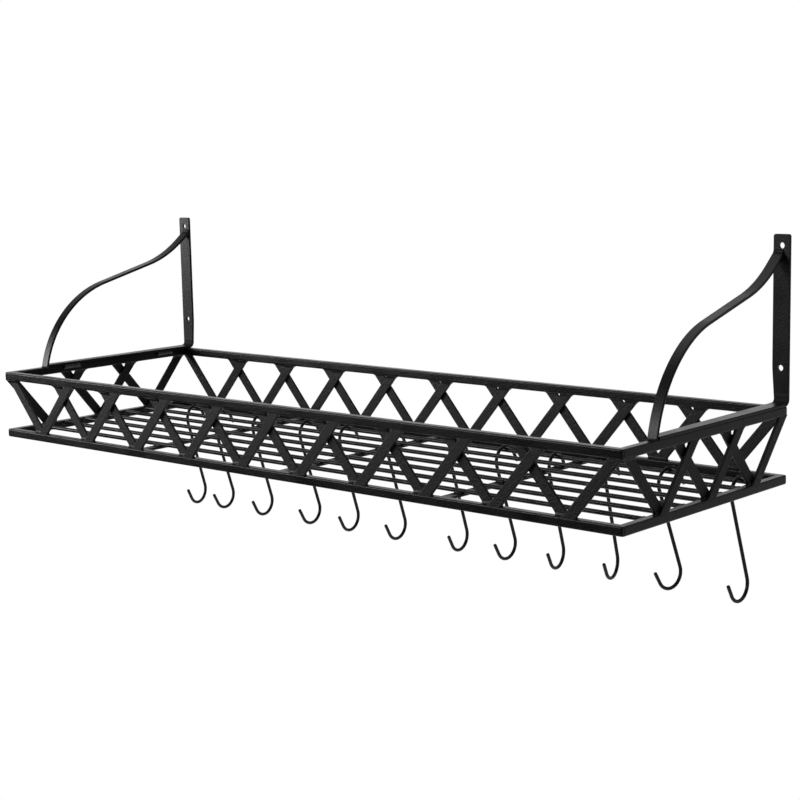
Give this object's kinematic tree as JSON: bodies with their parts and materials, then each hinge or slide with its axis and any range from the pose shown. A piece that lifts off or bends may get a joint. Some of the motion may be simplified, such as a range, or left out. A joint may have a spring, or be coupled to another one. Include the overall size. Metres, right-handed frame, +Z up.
{
  "type": "wall shelf with hooks",
  "caption": "Wall-hung steel basket shelf with criss-cross lattice sides, a rod floor, curved brackets with wall holes, and S-hooks that swing on the rear rod.",
  "frame": {"origin": "middle of the four wall holes, on the wall plane at the back of the bracket uprights", "axes": "+X along the shelf to the right as seen from the room, +Y into the wall, +Z up"},
  "size_m": [0.9144, 0.2972, 0.3734],
  "materials": {
    "frame_black": "satin black powder coat on square steel bar",
    "lattice_black": "satin black powder coat on flat steel bar",
    "floor_black": "satin black powder coat on round steel rod and flat bar",
    "bracket_black": "satin black powder coat on bent flat steel bar",
    "weld_black": "satin black powder coat over a rough weld bead",
    "hook_black": "satin black coating on bent steel wire"
  },
  "bodies": {
    "rack": {"bottom_rail_front": "frame_black", "top_rail_front": "frame_black", "lattice_front_outer_bars": "lattice_black", "lattice_front_inner_bars": "lattice_black", "bottom_rail_right": "frame_black", "top_rail_right": "frame_black", "lattice_right_outer_bars": "lattice_black", "lattice_right_inner_bars": "lattice_black", "bottom_rail_back": "frame_black", "top_rail_back": "frame_black", "lattice_back_outer_bars": "lattice_black", "lattice_back_inner_bars": "lattice_black", "bottom_rail_left": "frame_black", "top_rail_left": "frame_black", "lattice_left_outer_bars": "lattice_black", "lattice_left_inner_bars": "lattice_black", "floor_rod_1": "floor_black", "floor_rod_2": "floor_black", "floor_rod_3": "floor_black", "floor_rod_4": "floor_black", "floor_rod_5": "floor_black", "floor_rod_6": "floor_black", "floor_rod_7": "floor_black", "floor_cross_bar_1": "floor_black", "floor_cross_bar_2": "floor_black", "floor_cross_bar_3": "floor_black", "bracket_strap_right": "bracket_black", "bracket_brace_right": "bracket_black", "strap_welds_right": "weld_black", "bracket_strap_left": "bracket_black", "bracket_brace_left": "bracket_black", "strap_welds_left": "weld_black"},
    "hook_1": {"s_hook_1": "hook_black"},
    "hook_2": {"s_hook_2": "hook_black"},
    "hook_3": {"s_hook_3": "hook_black"},
    "hook_4": {"s_hook_4": "hook_black"},
    "hook_5": {"s_hook_5": "hook_black"},
    "hook_6": {"s_hook_6": "hook_black"},
    "hook_7": {"s_hook_7": "hook_black"},
    "hook_8": {"s_hook_8": "hook_black"},
    "hook_9": {"s_hook_9": "hook_black"},
    "hook_10": {"s_hook_10": "hook_black"},
    "hook_11": {"s_hook_11": "hook_black"},
    "hook_12": {"s_hook_12": "hook_black"}
  },
  "joints": [
    {"name": "hook_1_swing", "type": "hinge", "parent": "rack", "child": "hook_1", "pos_m": [-0.3882, -0.0497, -0.1731], "axis": [1, 0, 0], "range_deg": [-60, 15]},
    {"name": "hook_2_swing", "type": "hinge", "parent": "rack", "child": "hook_2", "pos_m": [-0.33584, -0.0497, -0.1731], "axis": [1, 0, 0], "range_deg": [-60, 15]},
    {"name": "hook_3_swing", "type": "hinge", "parent": "rack", "child": "hook_3", "pos_m": [-0.26347, -0.0497, -0.1731], "axis": [1, 0, 0], "range_deg": [-60, 15]},
    {"name": "hook_4_swing", "type": "hinge", "parent": "rack", "child": "hook_4", "pos_m": [-0.17911, -0.0497, -0.1731], "axis": [1, 0, 0], "range_deg": [-60, 15]},
    {"name": "hook_5_swing", "type": "hinge", "parent": "rack", "child": "hook_5", "pos_m": [-0.11274, -0.0497, -0.1731], "axis": [1, 0, 0], "range_deg": [-60, 15]},
    {"name": "hook_6_swing", "type": "hinge", "parent": "rack", "child": "hook_6", "pos_m": [-0.03638, -0.0497, -0.1731], "axis": [1, 0, 0], "range_deg": [-60, 15]},
    {"name": "hook_7_swing", "type": "hinge", "parent": "rack", "child": "hook_7", "pos_m": [0.05998, -0.0497, -0.1731], "axis": [1, 0, 0], "range_deg": [-60, 15]},
    {"name": "hook_8_swing", "type": "hinge", "parent": "rack", "child": "hook_8", "pos_m": [0.12934, -0.0497, -0.1731], "axis": [1, 0, 0], "range_deg": [-60, 15]},
    {"name": "hook_9_swing", "type": "hinge", "parent": "rack", "child": "hook_9", "pos_m": [0.19971, -0.0497, -0.1731], "axis": [1, 0, 0], "range_deg": [-60, 15]},
    {"name": "hook_10_swing", "type": "hinge", "parent": "rack", "child": "hook_10", "pos_m": [0.27307, -0.0497, -0.1731], "axis": [1, 0, 0], "range_deg": [-60, 15]},
    {"name": "hook_11_swing", "type": "hinge", "parent": "rack", "child": "hook_11", "pos_m": [0.34644, -0.0497, -0.1731], "axis": [1, 0, 0], "range_deg": [-60, 15]},
    {"name": "hook_12_swing", "type": "hinge", "parent": "rack", "child": "hook_12", "pos_m": [0.4298, -0.0497, -0.1731], "axis": [1, 0, 0], "range_deg": [-60, 15]}
  ]
}
